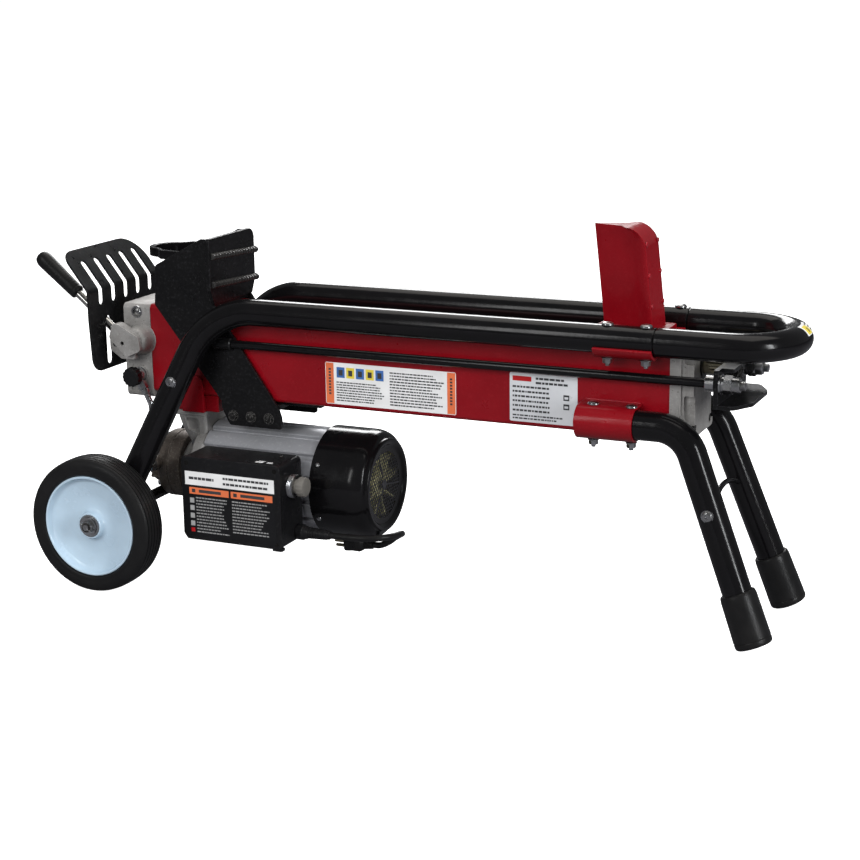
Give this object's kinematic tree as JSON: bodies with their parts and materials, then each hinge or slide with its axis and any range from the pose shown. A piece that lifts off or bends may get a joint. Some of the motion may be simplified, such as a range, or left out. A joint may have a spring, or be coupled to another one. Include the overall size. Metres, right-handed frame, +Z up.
{
  "type": "log splitter",
  "caption": "Low electric log splitter on two wheels and two front legs: a hydraulic ram drags a toothed pusher along a box beam towards a fixed steel wedge.",
  "frame": {"origin": "middle of the footprint box, on the ground", "axes": "+X along the beam from the valve end to the handle, +Y to the left side (away from the switch box), +Z up"},
  "size_m": [1.1014, 0.434, 0.5114],
  "materials": {
    "beam": "gloss dark red paint",
    "cylinder_tube": "honed steel",
    "valve_cover": "raw die casting",
    "end_cover": "raw die casting",
    "rail_tube_right": "gloss black powder coat",
    "rail_tube_left": "gloss black powder coat",
    "handle_tube": "gloss black powder coat",
    "rail_cradle_right": "gloss dark red paint",
    "rail_cradle_left": "gloss dark red paint",
    "leg_saddle_right": "gloss dark red paint",
    "leg_saddle_left": "gloss dark red paint",
    "front_leg_right": "gloss black powder coat",
    "front_leg_left": "gloss black powder coat",
    "foot_cap_right": "semi-gloss moulded rubber",
    "foot_cap_left": "semi-gloss moulded rubber",
    "leg_brace": "gloss black powder coat",
    "wedge": "gloss dark red paint",
    "axle": "black paint",
    "motor_mount": "raw casting",
    "pump_body": "raw casting",
    "motor_housing": "silver paint",
    "stator": "laminations and windings",
    "fan_cowl": "gloss black paint",
    "switch_box": "moulded black plastic",
    "button_bezel": "zinc ring",
    "strain_relief": "moulded black plastic",
    "power_cord": "black cable sheath",
    "plug": "moulded black plug",
    "hand_guard": "satin black powder coat",
    "oil_pipe": "bright zinc",
    "rail_bolt_right_1": "bright zinc",
    "saddle_bolt_right_1": "bright zinc",
    "rail_bolt_right_2": "bright zinc",
    "saddle_bolt_right_2": "bright zinc",
    "rail_bolt_left_1": "bright zinc",
    "saddle_bolt_left_1": "bright zinc",
    "rail_bolt_left_2": "bright zinc",
    "saddle_bolt_left_2": "bright zinc",
    "piston": "machined",
    "piston_rod": "hard chrome",
    "yoke": "satin black paint",
    "side_rod_right": "black oxide",
    "side_rod_left": "black oxide",
    "rod_nut_right": "bright zinc",
    "rod_nut_left": "bright zinc",
    "pusher": "satin black paint",
    "slide_plate": "satin black paint",
    "lever_rod": "bright chrome",
    "lever_grip": "black grip",
    "valve_spool": "ground steel",
    "push_button": "grey cap",
    "tyre_right": "ribbed solid rubber",
    "wheel_rim_right": "pale blue-white",
    "tyre_left": "ribbed solid rubber",
    "wheel_rim_left": "pale blue-white",
    "motor_rotor": "turned steel",
    "cooling_fan": "moulded plastic",
    "pump_drive_gear": "ground steel",
    "pump_driven_gear": "ground steel",
    "bleed_knob": "moulded black plastic"
  },
  "bodies": {
    "frame": {"beam": "beam", "cylinder_tube": "cylinder_tube", "valve_cover": "valve_cover", "end_cover": "end_cover", "rail_tube_right": "rail_tube_right", "rail_tube_left": "rail_tube_left", "handle_tube": "handle_tube", "rail_cradle_right": "rail_cradle_right", "rail_cradle_left": "rail_cradle_left", "leg_saddle_right": "leg_saddle_right", "leg_saddle_left": "leg_saddle_left", "front_leg_right": "front_leg_right", "front_leg_left": "front_leg_left", "foot_cap_right": "foot_cap_right", "foot_cap_left": "foot_cap_left", "leg_brace": "leg_brace", "wedge": "wedge", "axle": "axle", "motor_mount": "motor_mount", "pump_body": "pump_body", "motor_housing": "motor_housing", "stator": "stator", "fan_cowl": "fan_cowl", "switch_box": "switch_box", "button_bezel": "button_bezel", "strain_relief": "strain_relief", "power_cord": "power_cord", "plug": "plug", "hand_guard": "hand_guard", "oil_pipe": "oil_pipe", "rail_bolt_right_1": "rail_bolt_right_1", "saddle_bolt_right_1": "saddle_bolt_right_1", "rail_bolt_right_2": "rail_bolt_right_2", "saddle_bolt_right_2": "saddle_bolt_right_2", "rail_bolt_left_1": "rail_bolt_left_1", "saddle_bolt_left_1": "saddle_bolt_left_1", "rail_bolt_left_2": "rail_bolt_left_2", "saddle_bolt_left_2": "saddle_bolt_left_2"},
    "ram": {"piston": "piston", "piston_rod": "piston_rod", "yoke": "yoke", "side_rod_right": "side_rod_right", "side_rod_left": "side_rod_left", "rod_nut_right": "rod_nut_right", "rod_nut_left": "rod_nut_left", "pusher": "pusher", "slide_plate": "slide_plate"},
    "lever": {"lever_rod": "lever_rod", "lever_grip": "lever_grip"},
    "spool": {"valve_spool": "valve_spool"},
    "button": {"push_button": "push_button"},
    "wheel_right": {"tyre_right": "tyre_right", "wheel_rim_right": "wheel_rim_right"},
    "wheel_left": {"tyre_left": "tyre_left", "wheel_rim_left": "wheel_rim_left"},
    "motor": {"motor_rotor": "motor_rotor", "cooling_fan": "cooling_fan", "pump_drive_gear": "pump_drive_gear"},
    "driven_gear": {"pump_driven_gear": "pump_driven_gear"},
    "knob": {"bleed_knob": "bleed_knob"}
  },
  "joints": [
    {"name": "ram_stroke", "type": "slide", "parent": "frame", "child": "ram", "axis": [1, 0, 0], "range_m": [0, 0.385]},
    {"name": "control_lever", "type": "hinge", "parent": "frame", "child": "lever", "pos_m": [-0.41857, -0.052, 0.317], "axis": [0, -1, 0], "range_deg": [0, 25], "stiffness_Nm_per_rad": 1.5, "springref_deg": -8.59},
    {"name": "valve_travel", "type": "slide", "parent": "frame", "child": "spool", "axis": [0, 0, 1], "range_m": [0, 0.006]},
    {"name": "button_press", "type": "slide", "parent": "frame", "child": "button", "axis": [-1, 0, 0], "range_m": [0, 0.005], "stiffness_N_per_m": 400},
    {"name": "wheel_right_spin", "type": "hinge", "parent": "frame", "child": "wheel_right", "pos_m": [-0.38257, -0.188, 0.094], "axis": [0, 1, 0], "continuous": true},
    {"name": "wheel_left_spin", "type": "hinge", "parent": "frame", "child": "wheel_left", "pos_m": [-0.38257, 0.188, 0.094], "axis": [0, 1, 0], "continuous": true},
    {"name": "motor_spin", "type": "hinge", "parent": "frame", "child": "motor", "pos_m": [-0.20257, 0, 0.134], "axis": [1, 0, 0], "continuous": true},
    {"name": "pump_gear_spin", "type": "hinge", "parent": "frame", "child": "driven_gear", "pos_m": [-0.35257, 0, 0.1072], "axis": [1, 0, 0], "continuous": true},
    {"name": "bleed_screw", "type": "hinge", "parent": "frame", "child": "knob", "pos_m": [-0.38957, -0.07, 0.273], "axis": [0, -1, 0], "range_deg": [0, 360]}
  ],
  "couplings": [
    {"joint": "valve_travel", "follows": "control_lever", "m_per_rad": 0.0137},
    {"joint": "pump_gear_spin", "follows": "motor_spin", "ratio": -1}
  ]
}
